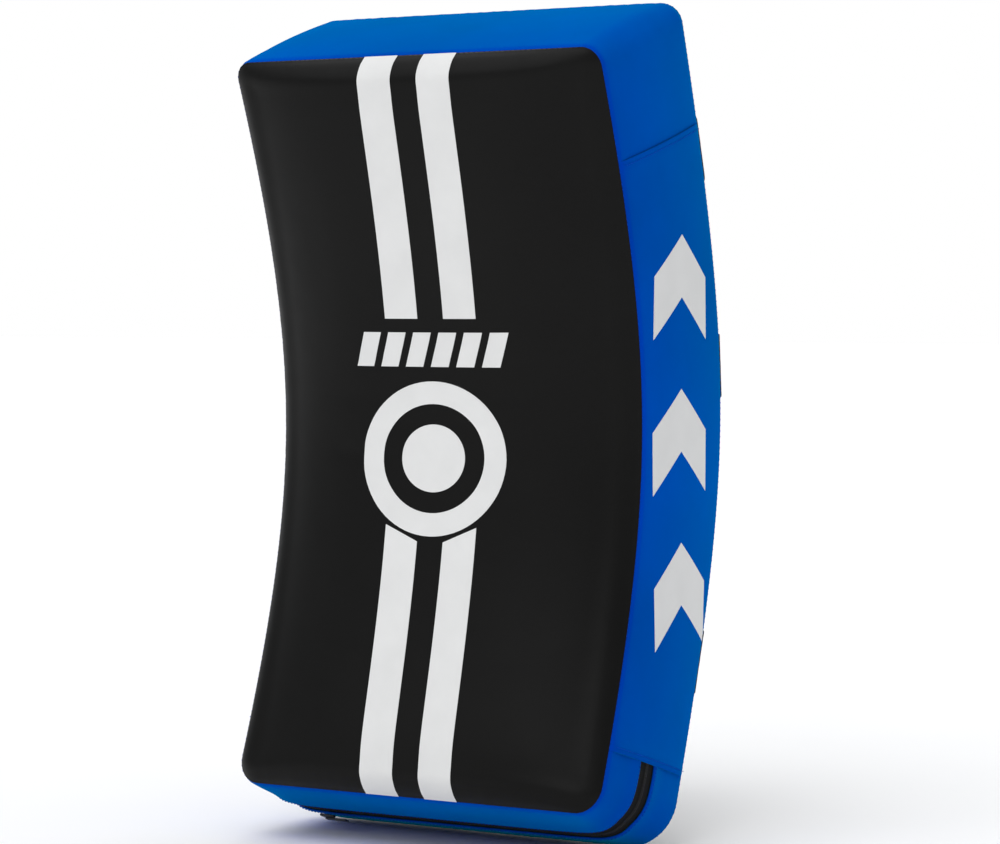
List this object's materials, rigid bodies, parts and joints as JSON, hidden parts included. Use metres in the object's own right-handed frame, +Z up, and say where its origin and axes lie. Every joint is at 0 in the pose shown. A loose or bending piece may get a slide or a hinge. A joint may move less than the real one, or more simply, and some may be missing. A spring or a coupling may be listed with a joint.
{
  "type": "curved kick shield",
  "caption": "Curved padded strike shield: hollow-curved leather front, blue side band, webbing bands, padded grab handle and two forearm loops behind, zip round the lower end.",
  "frame": {"origin": "centre of the forearm hold, midway between the two forearm loops and midway between the pad's back and the straps", "axes": "+X to the right seen from the strike face, -Y out of the strike face, +Y out of the back, +Z up along the shield's length"},
  "size_m": [0.39, 0.3437, 0.76],
  "materials": {
    "black_leather": "matt grained PU leather",
    "blue_leather": "smooth semi-gloss PU leather",
    "black_webbing": "woven polypropylene webbing",
    "pad_fabric": "matt padded fabric",
    "foam": "closed-cell foam",
    "dark_nickel": "polished dark nickel wire",
    "black_metal": "black enamel",
    "zip_tape": "woven zip tape",
    "rubber": "moulded satin rubber",
    "silver_edge": "silver edge",
    "blue_foil": "metallic blue, glossy"
  },
  "bodies": {
    "shield": {"front_cover_panel": "black_leather", "rear_cover_panel": "black_leather", "top_end_panel": "blue_leather", "right_side_panel": "blue_leather", "left_side_panel": "blue_leather", "left_corner_panel": "blue_leather", "bottom_front_strip": "blue_leather", "bottom_rear_strip": "blue_leather", "zip_tape_front": "zip_tape", "zip_tape_rear": "zip_tape", "zip_coil": "zip_tape", "zip_stop_left": "black_metal", "zip_stop_right": "black_metal", "front_impact_foam": "foam", "core_foam": "foam", "rear_foam_sheet": "foam", "top_band": "black_webbing", "middle_band": "black_webbing", "bottom_band": "black_webbing", "label_patch": "rubber", "label_bar_frame": "silver_edge", "label_bar_inset": "blue_foil", "grab_handle_end_left": "black_webbing", "grab_handle_end_right": "black_webbing", "left_ring_tab": "black_webbing", "left_strap_foot": "black_webbing", "right_ring_tab": "black_webbing", "right_strap_foot": "black_webbing"},
    "zip_slider": {"zip_slider": "black_metal"},
    "zip_pull": {"zip_pull": "black_metal"},
    "grab_handle": {"grab_handle_strap": "black_webbing", "grab_handle_core": "foam", "grab_handle_sleeve": "black_webbing"},
    "left_loop": {"left_forearm_strap": "black_webbing", "left_strap_tail": "black_webbing", "left_arm_pad": "pad_fabric", "left_arm_pad_binding": "pad_fabric"},
    "left_ring": {"left_ring": "dark_nickel", "left_ring_fold": "black_webbing"},
    "right_loop": {"right_forearm_strap": "black_webbing", "right_strap_tail": "black_webbing", "right_arm_pad": "pad_fabric", "right_arm_pad_binding": "pad_fabric"},
    "right_ring": {"right_ring": "dark_nickel", "right_ring_fold": "black_webbing"}
  },
  "joints": [
    {"name": "zip_slide", "type": "slide", "parent": "shield", "child": "zip_slider", "axis": [1, 0, 0], "range_m": [0, 0.25]},
    {"name": "zip_pull_flip", "type": "hinge", "parent": "zip_slider", "child": "zip_pull", "pos_m": [-0.125, -0.24132, -0.28194], "axis": [-0.0092, 0.9369, -0.3496], "range_deg": [0, 150]},
    {"name": "grab_handle_swing", "type": "hinge", "parent": "shield", "child": "grab_handle", "pos_m": [0.005, -0.06636, 0.34603], "axis": [1, 0, 0], "range_deg": [-15, 15]},
    {"name": "left_loop_swing", "type": "hinge", "parent": "shield", "child": "left_loop", "pos_m": [-0.102, -0.04815, -0.10925], "axis": [0, 0.283, 0.9591], "range_deg": [-15, 15]},
    {"name": "left_ring_tilt", "type": "hinge", "parent": "shield", "child": "left_ring", "pos_m": [-0.102, -0.01945, 0.10458], "axis": [1, 0, 0], "range_deg": [-8, 8]},
    {"name": "right_loop_swing", "type": "hinge", "parent": "shield", "child": "right_loop", "pos_m": [0.096, -0.04756, -0.10942], "axis": [0, 0.2832, 0.9591], "range_deg": [-15, 15]},
    {"name": "right_ring_tilt", "type": "hinge", "parent": "shield", "child": "right_ring", "pos_m": [0.096, -0.01876, 0.10459], "axis": [1, 0, 0], "range_deg": [-8, 8]}
  ]
}
